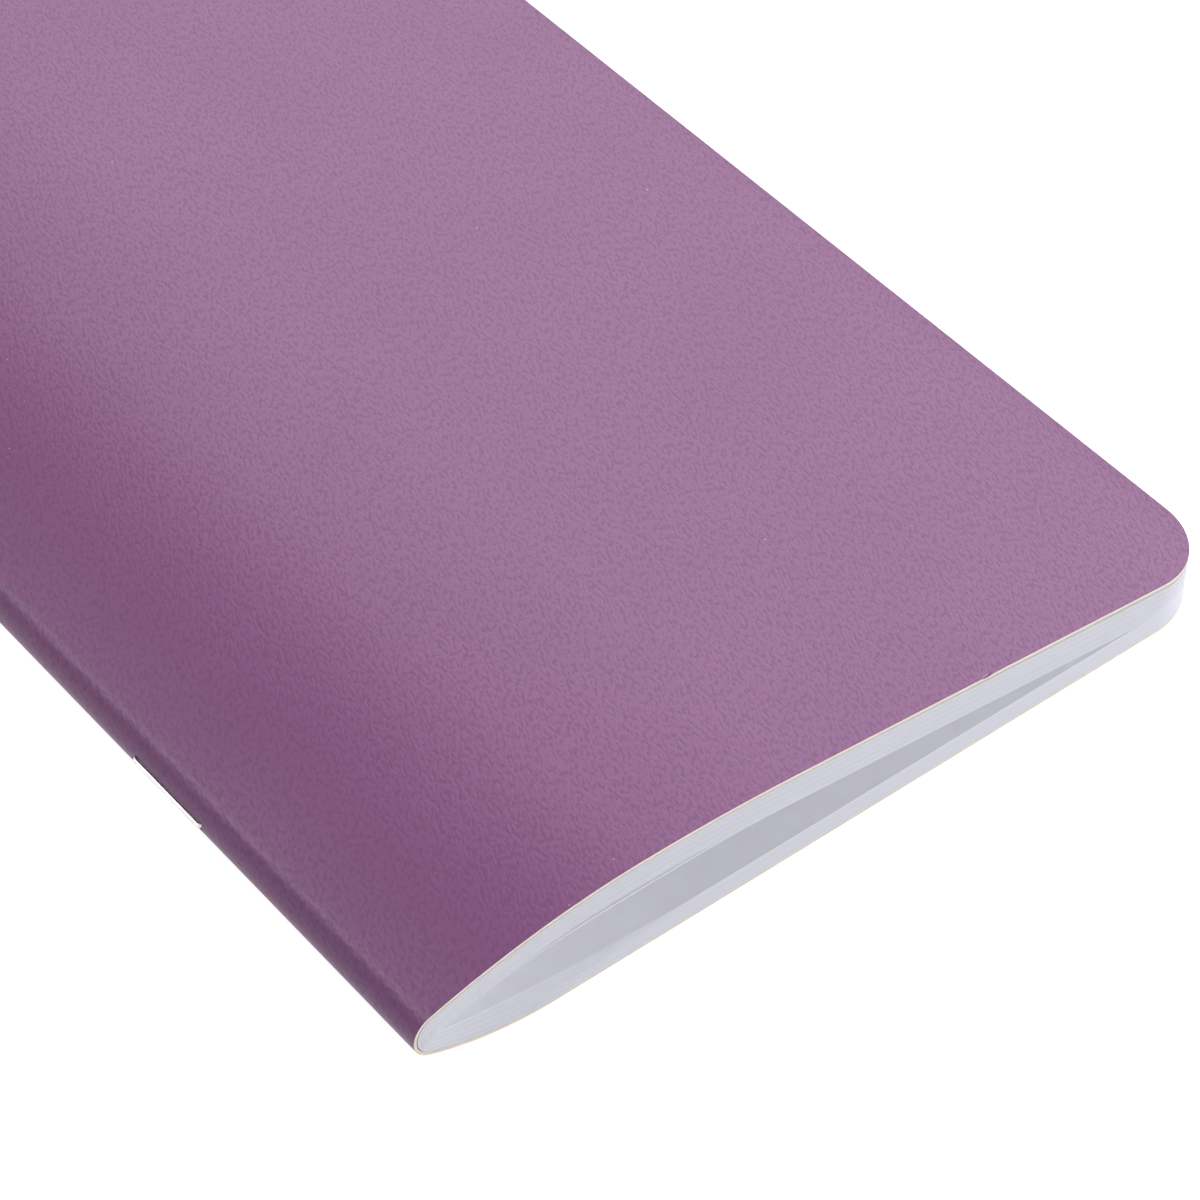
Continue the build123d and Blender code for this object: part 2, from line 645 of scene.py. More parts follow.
@dataclass
class Wiring:
    """Adds and joins nodes in one node tree."""

    tree: bpy.types.NodeTree

    def add(self, kind: str, **settings: object) -> bpy.types.Node:
        """Add a node.

        Args:
            kind: Its type, without the leading ShaderNode.
            settings: Properties to set on it.

        Returns:
            The node.
        """
        node = self.tree.nodes.new("ShaderNode" + kind)
        for name, value in settings.items():
            setattr(node, name, value)
        return node

    def feed(self, socket: Socket, value: Socket | float | Sequence[float]) -> None:
        """Link an output to an input, or set the input's own value.

        Args:
            socket: The input.
            value: The output, or the value.
        """
        if isinstance(value, bpy.types.NodeSocket):
            self.tree.links.new(value, socket)
        else:
            socket.default_value = value

    def math(self, operation: str, *values: Socket | float) -> Socket:
        """Work out a number from others.

        Args:
            operation: A Math node's operation.
            values: Its inputs, in order.

        Returns:
            The result.
        """
        node = self.add("Math", operation=operation)
        for socket, value in zip(node.inputs, values):
            self.feed(socket, value)
        return node.outputs[0]

    def spread(self, value: Socket, low: float, high: float, start: float, end: float) -> Socket:
        """Map a range of a value smoothly to another.

        Args:
            value: The value.
            low: Where the range starts.
            high: Where it ends.
            start: What the range's start becomes.
            end: What its end becomes.

        Returns:
            The mapped value.
        """
        node = self.add("MapRange", interpolation_type="SMOOTHSTEP")
        names = ("Value", "From Min", "From Max", "To Min", "To Max")
        for name, given in zip(names, (value, low, high, start, end)):
            self.feed(node.inputs[name], given)
        return node.outputs["Result"]

    def blend(
        self,
        share: Socket | float,
        base: Socket | Sequence[float],
        over: Socket | Sequence[float],
    ) -> Socket:
        """Mix two colours.

        Args:
            share: How much of the second shows.
            base: The first colour, or a socket that gives it.
            over: The second.

        Returns:
            The mixed colour.
        """
        node = self.add("Mix", data_type="RGBA")
        colours = [socket for socket in node.inputs if socket.type == "RGBA"]
        self.feed(node.inputs["Factor"], share)
        self.feed(colours[0], base)
        self.feed(colours[1], over)
        return next(socket for socket in node.outputs if socket.type == "RGBA")

    def tint(
        self, mask: Socket, share: float, base: Socket | Sequence[float], over: Colour
    ) -> Socket:
        """Lay a colour over another where a mask shows it.

        Args:
            mask: Where it lies, from 0 to 1.
            share: How much of it shows where the mask is 1.
            base: The colour below, or a socket that gives it.
            over: The colour on top, as seen on a screen.

        Returns:
            The mixed colour.
        """
        return self.blend(self.math("MULTIPLY", mask, share), base, linear(over))

    def emboss(self, shader: bpy.types.Node, height: Socket, depth: float, strength: float) -> None:
        """Raise a shader's surface by a pattern.

        Args:
            shader: The shader.
            height: The pattern, from 0 to 1.
            depth: How high a 1 stands.
            strength: How much of the pattern shows.
        """
        bump = self.add("Bump")
        bump.inputs["Strength"].default_value = strength
        bump.inputs["Distance"].default_value = depth
        self.feed(bump.inputs["Height"], height)
        self.feed(shader.inputs["Normal"], bump.outputs["Normal"])

    def drawn_out(self, vector: Socket, stretch: float, turn: float = 0.0) -> Socket:
        """Coordinates in which a pattern is drawn out along Y, and then turned about Z.

        Args:
            vector: The plain coordinates.
            stretch: How many times longer the pattern becomes.
            turn: By how much it is turned.

        Returns:
            The new coordinates.
        """
        node = self.add("Mapping", vector_type="TEXTURE")
        self.feed(node.inputs["Vector"], vector)
        node.inputs["Rotation"].default_value = (0, 0, turn)
        node.inputs["Scale"].default_value = (1, stretch, 1)
        return node.outputs["Vector"]

    def noise(
        self, vector: Socket, scale: Socket | float, detail: float, rough: float = 0.5
    ) -> bpy.types.Node:
        """Add a noise pattern.

        Args:
            vector: Its coordinates.
            scale: Its scale.
            detail: How many finer layers it has.
            rough: How strong those are.

        Returns:
            The noise node.
        """
        node = self.add("TexNoise", noise_dimensions="3D")
        self.feed(node.inputs["Vector"], vector)
        self.feed(node.inputs["Scale"], scale)
        node.inputs["Detail"].default_value = detail
        node.inputs["Roughness"].default_value = rough
        return node


@dataclass(frozen=True)
class Effect:
    """A shader node group that several finishes share."""

    name: str
    inputs: tuple[tuple[str, str, float | None], ...]
    outputs: tuple[tuple[str, str], ...]
    draw: Callable[[Wiring, dict[str, Socket]], dict[str, Socket]]

    def group(self) -> bpy.types.NodeTree:
        """The group, built at its first use.

        Returns:
            The node group.
        """
        found = bpy.data.node_groups.get(self.name)
        if found:
            return found
        tree = bpy.data.node_groups.new(self.name, "ShaderNodeTree")
        for name, kind, value in self.inputs:
            socket = tree.interface.new_socket(name, in_out="INPUT", socket_type="NodeSocket" + kind)
            if value is not None:
                socket.default_value = value
        for name, kind in self.outputs:
            tree.interface.new_socket(name, in_out="OUTPUT", socket_type="NodeSocket" + kind)
        wiring = Wiring(tree)
        source = tree.nodes.new("NodeGroupInput")
        sink = tree.nodes.new("NodeGroupOutput")
        given = {socket.name: socket for socket in source.outputs if socket.name}
        for name, socket in self.draw(wiring, given).items():
            tree.links.new(socket, sink.inputs[name])
        return tree

    def place(self, wiring: Wiring, **values: Socket | float) -> bpy.types.NodeOutputs:
        """Put the effect into a material.

        Args:
            wiring: The material's nodes.
            values: What its inputs get, by name.

        Returns:
            The outputs of the placed group.
        """
        node = wiring.add("Group", node_tree=self.group())
        for name, value in values.items():
            wiring.feed(node.inputs[name], value)
        return node.outputs


def draw_pressed_grain(wiring: Wiring, given: dict[str, Socket]) -> dict[str, Socket]:
    """Fine leather grain pressed into card: small drawn-out pebbles with creases between them.

    Args:
        wiring: The group's nodes.
        given: Its inputs.

    Returns:
        The height of the surface, and a mask of the creases.
    """
    slant, stretch = math.radians(-24), 2.1
    drift_share, drift_reach = 0.35, 1.1
    pebble_share, pebble_rim, pebble_weight = 0.8, 0.34, 0.25
    layers, stroke_band, crease_band = 2.0, (0.25, 0.75), (0.12, 0.62)
    lay = wiring.drawn_out(given["Vector"], stretch, slant)
    drift = wiring.noise(lay, wiring.math("MULTIPLY", given["Scale"], drift_share), layers)
    centred = wiring.add("VectorMath", operation="SUBTRACT")
    wiring.feed(centred.inputs[0], drift.outputs["Color"])
    centred.inputs[1].default_value = (0.5, 0.5, 0.5)
    sway = wiring.add("VectorMath", operation="SCALE")
    wiring.feed(sway.inputs[0], centred.outputs[0])
    wiring.feed(sway.inputs["Scale"], wiring.math("DIVIDE", drift_reach, given["Scale"]))
    bent = wiring.add("VectorMath", operation="ADD")
    wiring.feed(bent.inputs[0], lay)
    wiring.feed(bent.inputs[1], sway.outputs[0])
    cells = wiring.add("TexVoronoi", voronoi_dimensions="2D", feature="DISTANCE_TO_EDGE")
    wiring.feed(cells.inputs["Vector"], bent.outputs[0])
    wiring.feed(cells.inputs["Scale"], wiring.math("MULTIPLY", given["Scale"], pebble_share))
    pebble = wiring.spread(cells.outputs["Distance"], 0.0, pebble_rim, 0.0, 1.0)
    strokes = wiring.noise(bent.outputs[0], given["Scale"], layers)
    wrinkle = wiring.spread(strokes.outputs["Fac"], *stroke_band, 0.0, 1.0)
    wrinkled = wiring.math("MULTIPLY", wrinkle, 1 - pebble_weight)
    height = wiring.math("MULTIPLY_ADD", pebble, pebble_weight, wrinkled)
    crease_shade = wiring.spread(height, *crease_band, 1.0, 0.0)
    return {"Height": height, "Crease": crease_shade}


def draw_soft_mottle(wiring: Wiring, given: dict[str, Socket]) -> dict[str, Socket]:
    """Slow unevenness of a dyed or pulped surface.

    Args:
        wiring: The group's nodes.
        given: Its inputs.

    Returns:
        The unevenness, from 0 to 1.
    """
    layers, rough, band = 3.0, 0.55, (0.3, 0.7)
    cloud = wiring.noise(given["Vector"], given["Scale"], layers, rough)
    return {"Value": wiring.spread(cloud.outputs["Fac"], *band, 0.0, 1.0)}


def draw_lint(wiring: Wiring, given: dict[str, Socket]) -> dict[str, Socket]:
    """A few specks of lint.

    Args:
        wiring: The group's nodes.
        given: Its inputs.

    Returns:
        A mask of the specks.
    """
    cells = wiring.add("TexVoronoi", voronoi_dimensions="2D", feature="F1")
    wiring.feed(cells.inputs["Vector"], given["Vector"])
    wiring.feed(cells.inputs["Scale"], given["Scale"])
    chance = wiring.add("SeparateColor")
    wiring.feed(chance.inputs[0], cells.outputs["Color"])
    rare = wiring.math("GREATER_THAN", chance.outputs[0], given["Rarity"])
    near = wiring.math("LESS_THAN", cells.outputs["Distance"], given["Size"])
    return {"Mask": wiring.math("MULTIPLY", rare, near)}


PRESSED_GRAIN = Effect(
    "pressed_grain",
    (("Vector", "Vector", None), ("Scale", "Float", 2000.0)),
    (("Height", "Float"), ("Crease", "Float")),
    draw_pressed_grain,
)
SOFT_MOTTLE = Effect(
    "soft_mottle",
    (("Vector", "Vector", None), ("Scale", "Float", 50.0)),
    (("Value", "Float"),),
    draw_soft_mottle,
)
LINT = Effect(
    "lint",
    (
        ("Vector", "Vector", None),
        ("Scale", "Float", 100.0),
        ("Rarity", "Float", 0.9),
        ("Size", "Float", 0.02),
    ),
    (("Mask", "Float"),),
    draw_lint,
)


# Finishes


@dataclass(frozen=True)
class CoatFinish:
    """Dyed, leather-grained face of the cover card, with a satin varnish, and painted shade in the
    creases of its grain.
    """

    name: str = "leather_grained_coat"
    colour: Colour = (135, 75, 131)
    # Colour of the painted shade in the grain's creases.
    crease_shade: Colour = (112, 58, 109)
    bloom: Colour = (145, 85, 139)
    lint: Colour = (214, 200, 212)
    grain_scale: float = 2400.0
    grain_depth: float = 0.026 * MM
    crease_shade_share: float = 0.6
    bloom_scale: float = 38.0
    bloom_share: float = 0.35
    lint_scale: float = 140.0
    lint_rarity: float = 0.965
    lint_size: float = 0.014
    lint_share: float = 0.5
    gloss: Point = (0.38, 0.43)
    sheen: float = 0.5
    relief: float = 1.0

    def material(self) -> bpy.types.Material:
        """Make the finish as a material.

        Returns:
            The material.
        """
        made, wiring, shader = new_material(self.name)
        skin = wiring.add("UVMap", uv_map=SKIN_MAP).outputs["UV"]
        grain = PRESSED_GRAIN.place(wiring, Vector=skin, Scale=self.grain_scale)
        bloom = SOFT_MOTTLE.place(wiring, Vector=skin, Scale=self.bloom_scale)["Value"]
        specks = LINT.place(
            wiring,
            Vector=skin,
            Scale=self.lint_scale,
            Rarity=self.lint_rarity,
            Size=self.lint_size,
        )["Mask"]
        dyed = wiring.tint(bloom, self.bloom_share, linear(self.colour), self.bloom)
        # Painted shade: the grain's creases are darkened in the colour, as the shade that falls in
        # them.
        crease_shaded = wiring.tint(grain["Crease"], self.crease_shade_share, dyed, self.crease_shade)
        crease_shaded_and_dusty = wiring.tint(specks, self.lint_share, crease_shaded, self.lint)
        wiring.feed(shader.inputs["Base Color"], crease_shaded_and_dusty)
        wiring.feed(shader.inputs["Roughness"], wiring.spread(grain["Crease"], 0.0, 1.0, *self.gloss))
        shader.inputs["Specular IOR Level"].default_value = self.sheen
        wiring.emboss(shader, grain["Height"], self.grain_depth, self.relief)
        return made


@dataclass(frozen=True)
class CoreFinish:
    """Bare cream board of the cover: its cut edge and its inner face."""

    name: str = "cream_board"
    colour: Colour = (241, 232, 218)
    shade: Colour = (228, 216, 197)
    mottle_scale: float = 900.0
    mottle_share: float = 0.5
    mottle_depth: float = 0.012 * MM
    gloss: Point = (0.78, 0.92)
    sheen: float = 0.25
    relief: float = 0.6

    def material(self) -> bpy.types.Material:
        """Make the finish as a material.

        Returns:
            The material.
        """
        made, wiring, shader = new_material(self.name)
        place = wiring.add("TexCoord").outputs["Object"]
        mottle = SOFT_MOTTLE.place(wiring, Vector=place, Scale=self.mottle_scale)["Value"]
        tinted = wiring.tint(mottle, self.mottle_share, linear(self.colour), self.shade)
        wiring.feed(shader.inputs["Base Color"], tinted)
        wiring.feed(shader.inputs["Roughness"], wiring.spread(mottle, 0.0, 1.0, *self.gloss))
        shader.inputs["Specular IOR Level"].default_value = self.sheen
        wiring.emboss(shader, mottle, self.mottle_depth, self.relief)
        return made


@dataclass(frozen=True)
class PaperFinish:
    """Bright white writing paper, slightly blue, with a faint formation in its pulp, and cut edges
    painted darker as the shade between the sheets.
    """

    name: str = "white_writing_paper"
    colour: Colour = (241, 241, 248)
    shade: Colour = (236, 235, 243)
    # Tones of the cut edges: they differ at random from stock to stock, and all are darker than the
    # faces as painted shade between the sheets.
    cuts: tuple[Colour, ...] = (
        (229, 229, 238),
        (223, 223, 233),
        (231, 231, 240),
        (226, 226, 235),
    )
    edge_tilt: Point = (0.3, 0.8)
    cloud_scale: float = 420.0
    cloud_share: float = 0.6
    fibre_scale: float = 3800.0
    fibre_layers: float = 2.0
    fibre_stretch: float = 3.3
    fibre_slant: float = math.radians(34)
    fibre_depth: float = 0.008 * MM
    gloss: Point = (0.82, 0.92)
    sheen: float = 0.2
    relief: float = 0.5

    def stocks(self) -> list[bpy.types.Material]:
        """Make the finish once for each tone of the cut edges, all painted darker than the faces as
        shade between the sheets.
        """
        return [self.material(number, cut) for number, cut in enumerate(self.cuts, start=1)]

    def material(self, number: int, cut: Colour) -> bpy.types.Material:
        """Make the finish as a material, with the cut edges painted darker than the faces as the
        shade between the sheets.

        Args:
            number: Which of the stocks it is.
            cut: The tone of its cut edges, darker than the faces as painted shade.

        Returns:
            The material.
        """
        made, wiring, shader = new_material(f"{self.name}_{number}")
        source = wiring.add("TexCoord").outputs
        place = source["Object"]
        facing = wiring.add("SeparateXYZ")
        wiring.feed(facing.inputs[0], source["Normal"])
        level = wiring.math("ABSOLUTE", facing.outputs["Z"])
        face = wiring.spread(level, *self.edge_tilt, 0.0, 1.0)
        cloud = SOFT_MOTTLE.place(wiring, Vector=place, Scale=self.cloud_scale)["Value"]
        lay = wiring.drawn_out(place, self.fibre_stretch, self.fibre_slant)
        fibres = wiring.noise(lay, self.fibre_scale, self.fibre_layers).outputs["Fac"]
        clouded = wiring.tint(cloud, self.cloud_share, linear(self.colour), self.shade)
        # Painted shade: upright faces, the cut edges, take the darker cut tone.
        wiring.feed(shader.inputs["Base Color"], wiring.blend(face, linear(cut), clouded))
        wiring.feed(shader.inputs["Roughness"], wiring.spread(cloud, 0.0, 1.0, *self.gloss))
        shader.inputs["Specular IOR Level"].default_value = self.sheen
        wiring.emboss(shader, fibres, self.fibre_depth, self.relief)
        return made


@dataclass(frozen=True)
class WireFinish:
    """Bright drawn staple wire."""

    name: str = "drawn_staple_wire"
    colour: Colour = (226, 224, 220)
    shade: Colour = (196, 193, 188)
    streak_scale: float = 9000.0
    streak_layers: float = 3.0
    streak_band: Point = (0.3, 0.7)
    streak_stretch: float = 12.0
    streak_depth: float = 0.006 * MM
    mottle_scale: float = 700.0
    mottle_share: float = 0.5
    gloss: Point = (0.2, 0.34)
    relief: float = 0.4

    def material(self) -> bpy.types.Material:
        """Make the finish as a material.

        Returns:
            The material.
        """
        made, wiring, shader = new_material(self.name)
        place = wiring.add("TexCoord").outputs["Object"]
        drawn = wiring.drawn_out(place, self.streak_stretch)
        streaks = wiring.noise(drawn, self.streak_scale, self.streak_layers).outputs["Fac"]
        mottle = SOFT_MOTTLE.place(wiring, Vector=place, Scale=self.mottle_scale)["Value"]
        tinted = wiring.tint(mottle, self.mottle_share, linear(self.colour), self.shade)
        wiring.feed(shader.inputs["Base Color"], tinted)
        shader.inputs["Metallic"].default_value = 1.0
        dull = wiring.spread(streaks, *self.streak_band, *self.gloss)
        wiring.feed(shader.inputs["Roughness"], dull)
        wiring.emboss(shader, streaks, self.streak_depth, self.relief)
        return made


def new_material(name: str) -> tuple[bpy.types.Material, Wiring, bpy.types.Node]:
    """Start a material.

    Args:
        name: Its name.

    Returns:
        The material, its nodes and its shader.
    """
    made = bpy.data.materials.new(name)
    made.use_nodes = True
    shader = made.node_tree.nodes["Principled BSDF"]
    return made, Wiring(made.node_tree), shader


# Sub-assemblies


@dataclass
class StapleSeats:
    """Where the two staples pass through the spine."""

    form: BookForm
    crown_length: float = 12.3 * MM
    clearance: float = 0.03 * MM
    from_end: float = 42.5 * MM
    press_depth: float = 0.24 * MM
    press_height: float = 1.35 * MM
    sides: int = 24
    hole_reach: float = 4.0

    @property
    def middles(self) -> tuple[float, float]:
        """Y of the middle of each staple."""
        reach = self.form.length / 2 - self.from_end
        return (-reach, reach)

    @property
    def half_crown(self) -> float:
        """Distance from a staple's middle to the middle of a leg."""
        return (self.crown_length - self.form.wire) / 2

    def leg_tool(self) -> Piece:
        """Make the holes of all four legs.

        Returns:
            One solid to cut with.
        """
        radius = self.form.wire / 2 + self.clearance
        depth = self.hole_reach * self.form.spine_radius
        Bench.clear()
        made = []
        for middle in self.middles:
            for side in (-1, 1):
                place = (self.form.fold[0], middle + side * self.half_crown, self.form.fold[1])
                bpy.ops.mesh.primitive_cylinder_add(
                    vertices=self.sides,
                    radius=radius,
                    depth=depth,
                    location=place,
                    rotation=(0, RIGHT_ANGLE, 0),
                )
                made.append(bpy.context.object)
        return self.joined(made, "leg_tool")

    def press_tool(self) -> Piece:
        """Make the troughs that the crowns press into the spine.

        Returns:
            One solid to cut with.
        """
        spine = self.form.fold[0] - self.form.spine_radius
        reach = self.half_crown + self.form.wire / 2 + self.clearance
        Bench.clear()
        made = []
        for middle in self.middles:
            bpy.ops.mesh.primitive_cylinder_add(
                vertices=2 * self.sides,
                radius=self.press_height / 2,
                depth=2 * reach,
                location=(spine, middle, self.form.fold[1]),
                rotation=(RIGHT_ANGLE, 0, 0),
            )
            trough = bpy.context.object
            bpy.ops.transform.resize(value=(2 * self.press_depth / self.press_height, 1, 1))
            Bench.settle()
            with Bench.shaping(trough):
                Bench.turn_outwards()
            made.append(trough)
        return self.joined(made, "press_tool")

    @staticmethod
    def joined(pieces: Sequence[Piece], name: str) -> Piece:
        """Join several solids into one object.

        Args:
            pieces: The solids.
            name: The name of the joined object.

        Returns:
            The object, with its place in its mesh.
        """
        Bench.clear()
        for piece in pieces:
            piece.select_set(True)
        bpy.context.view_layer.objects.active = pieces[0]
        bpy.ops.object.join()
        Bench.settle()
        whole = bpy.context.object
        whole.name = name
        return whole


@dataclass
class Trimmer:
    """Cuts swept stock to the trimmed plan of the book, with its two rounded corners."""

    form: BookForm
    overlap: float = 1.0 * MM
    height: float = 60.0 * MM
    corner_steps: int = 28
    block: Piece = field(init=False)

    def __post_init__(self) -> None:
        """Make the block that the stiff pieces are trimmed to."""
        left, right = self.form.gutter_x, self.form.fore_edge
        Bench.clear()
        bpy.ops.mesh.primitive_cube_add(size=1, location=((left + right) / 2, 0, 0))
        self.block = bpy.context.object
        self.block.name = "trim_tool"
        bpy.ops.transform.resize(value=(right - left, self.form.length, self.height))
        Bench.settle()
        with Bench.shaping(self.block):
            Bench.pick(self.block, Element.EDGE, self.is_corner)
            bpy.ops.mesh.bevel(offset=self.form.corner, segments=self.corner_steps, affect="EDGES")

    def is_corner(self, edge: bmesh.types.BMEdge) -> bool:
        """Whether an edge of the block is an upright one at the fore-edge.

        Args:
            edge: The edge.

        Returns:
            True if it is.
        """
        first, last = (vertex.co for vertex in edge.verts)
        at_fore_edge = min(first.x, last.x) > self.form.fore_edge - TINY
        return at_fore_edge and first.y * last.y > 0

    def leaf(self, name: str, foot: Point, runs: Sequence[Turn | Run], thickness: float) -> Piece:
        """Make one stiff half of a folded sheet.

        Args:
            name: Its name.
            foot: Lower end of the upright edge that it is swept from.
            runs: Its section.
            thickness: Its thickness.

        Returns:
            The trimmed piece.
        """
        reach = self.form.length / 2 + self.overlap
        made = Bench.upright_edge(name, foot, thickness, -reach)
        Bench.sweep(made, runs, 2 * reach)
        Bench.carve(made, self.block, Cut.WITHIN)
        return made


@dataclass
class CardCover:
    """The folded card cover: a stiff front and back panel, and the curved spine between them."""

    form: BookForm
    seats: StapleSeats
    trimmer: Trimmer
    coat: bpy.types.Material
    core: bpy.types.Material
    section: Section = field(init=False)
    overlap: float = 1.0 * MM
    edge_round: float = 0.045 * MM
    edge_steps: int = 2
    smooth_angle: float = math.radians(20)
    leave_steps: int = 12
    fold_steps: int = 56
    coated_above: float = 0.35
    wall_below: float = 0.3
    nick_x: float = 20.4 * MM
    nick_reach: Place = (0.75 * MM, 0.24 * MM, 0.16 * MM)
    nick_steps: int = 3

    def __post_init__(self) -> None:
        """Take the cover's section from the book's form."""
        self.section = self.form.card_section()

    def nick_tool(self) -> Piece:
        """Make the dent in the tail edge of the front panel.

        Returns:
            A small rounded solid to cut with.
        """
        place = (self.nick_x, -self.form.length / 2, self.section.fall_top(self.nick_x))
        Bench.clear()
        bpy.ops.mesh.primitive_ico_sphere_add(
            subdivisions=self.nick_steps, radius=1.0, location=place
        )
        tool = bpy.context.object
        tool.name = "nick_tool"
        bpy.ops.transform.resize(value=self.nick_reach)
        Bench.settle()
        return tool

    def front_panel(self) -> Piece:
        """Make the stiff front of the cover, with the nick in its tail edge.

        Returns:
            The panel.
        """
        foot, runs = self.section.front_foot(self.overlap), self.section.front_runs(self.overlap)
        made = self.trimmer.leaf("front_panel", foot, runs, self.form.card)
        self.round_edge(made)
        nick = self.nick_tool()
        Bench.carve(made, nick, Cut.AWAY)
        Bench.discard(nick)
        self.dress(made)
        return made

    def back_panel(self) -> Piece:
        """Make the stiff back of the cover.

        Returns:
            The panel.
        """
        foot, runs = self.section.back_foot(self.overlap), self.section.back_runs(self.overlap)
        made = self.trimmer.leaf("back_panel", foot, runs, self.form.card)
        self.round_edge(made)
        self.dress(made)
        return made

    def spine(self) -> Piece:
        """Make the curved spine, with the troughs and holes of the staples.

        Returns:
            The spine.
        """
        foot, half = self.section.fold_foot(), self.form.length / 2
        runs = self.section.fold_runs(self.overlap, self.leave_steps, self.fold_steps)
        made = Bench.upright_edge("spine_strip", foot, self.form.card, -half)
        Bench.sweep(made, runs, self.form.length)
        Bench.trim_at(made, self.form.gutter_x)
        for tool in (self.seats.press_tool(), self.seats.leg_tool()):
            Bench.carve(made, tool, Cut.AWAY)
            Bench.discard(tool)
        self.round_edge(made)
        self.section.ease_ends(made)
        self.dress(made)
        return made

    def outward(self, place: Vector) -> Vector:
        """Direction that points out of the cover at a place in it.

        Args:
            place: The place.

        Returns:
            The direction, of length 1.
        """
        fold = Vector((self.form.fold[0], 0, self.form.fold[1]))
        if place.x < fold.x:
            return Vector((place.x - fold.x, 0, place.z - fold.z)).normalized()
        return Vector((0, 0, math.copysign(1, place.z - self.midway(place.x))))

    def midway(self, x: float) -> float:
        """Height halfway between the cover's two halves.

        Args:
            x: How far across the book.

        Returns:
            The height above the table.
        """
        lean = min(1.0, (x - self.form.fold[0]) / self.form.width)
        fore_edge = (self.section.front_end + self.section.back_top) / 2
        return self.form.fold[1] * (1 - lean) + fore_edge * lean

    def faces_out(self, face: bmesh.types.BMFace) -> bool:
        """Whether a face belongs to the cover's outer side."""
        return face.normal.dot(self.outward(face.calc_center_median())) > self.coated_above

    def is_cut(self, edge: bmesh.types.BMEdge) -> bool:
        """Whether an edge lies between the outer side and a trimmed edge.

        Args:
            edge: The edge.

        Returns:
            True if it does.
        """
        if len(edge.link_faces) != 2:
            return False
        outer = [self.faces_out(face) for face in edge.link_faces]
        if outer[0] == outer[1]:
            return False
        wall = edge.link_faces[1 if outer[0] else 0]
        middle = (edge.verts[0].co + edge.verts[1].co) / 2
        at_end = abs(middle.y) > self.form.length / 2 - TINY
        beyond = middle.x > self.form.gutter_x + self.overlap
        upright = abs(wall.normal.dot(self.outward(middle))) < self.wall_below
        return (at_end or beyond) and upright

    def round_edge(self, piece: Piece) -> None:
        """Ease the outer rim of the trimmed edge, as a cutter presses it.

        Args:
            piece: A piece of the cover.
        """
        with Bench.shaping(piece):
            if Bench.pick(piece, Element.EDGE, self.is_cut):
                bpy.ops.mesh.bevel(
                    offset=self.edge_round,
                    segments=self.edge_steps,
                    affect="EDGES",
                    clamp_overlap=True,
                )

    def developed(self, place: Vector) -> Point:
        """Coordinates on the cover opened out flat.

        Args:
            place: A place on the folded cover.

        Returns:
            How far across from the spine's middle it lies, and how far along.
        """
        across, up = place.x - self.form.fold[0], place.z - self.form.fold[1]
        quarter = self.form.spine_radius * RIGHT_ANGLE
        if across >= 0:
            front = place.z > self.midway(place.x)
            return ((quarter + across) * (1 if front else -1), place.y)
        return (self.form.spine_radius * math.atan2(up, -across), place.y)

    def dress(self, piece: Piece) -> None:
        """Give a piece of the cover its two finishes, its map and its smooth shading.

        Args:
            piece: A piece of the cover.
        """
        piece.data.materials.append(self.coat)
        piece.data.materials.append(self.core)
        with Bench.shaping(piece):
            for wanted, test in (
                (CardFace.COAT, self.faces_out),
                (CardFace.CORE, lambda face: not self.faces_out(face)),
            ):
                Bench.pick(piece, Element.FACE, test)
                piece.active_material_index = wanted.value
                bpy.ops.object.material_slot_assign()
        skin = piece.data.uv_layers.new(name=SKIN_MAP)
        for loop in piece.data.loops:
            place = piece.data.vertices[loop.vertex_index].co
            skin.uv[loop.index].vector = self.developed(place)
        Bench.smooth(piece, self.smooth_angle)

    def build(self) -> list[Piece]:
        """Make the cover, and set its front and back panels to move with the book.

        Returns:
            The front panel, the spine and the back panel.
        """
        front, back, spine = self.front_panel(), self.back_panel(), self.spine()
        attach(front, "front_cover")
        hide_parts("front_cover")
        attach(back, "back_cover")
        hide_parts("back_cover")
        start, end = self.section.gutter_ends()
        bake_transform(spine)
        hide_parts("cover_spine")
        return [front, spine, back]


@dataclass(frozen=True)
class Bow:
    """How far a leaf stands off its neighbour, between two distances from the fold."""

    depth: float
    start: float
    end: float

    def at(self, reach: float) -> float:
        """How far the leaf stands off at a distance from the fold."""
        share = (reach - self.start) / (self.end - self.start)
        return self.depth * math.sin(HALF_TURN * min(1.0, max(0.0, share))) ** 2


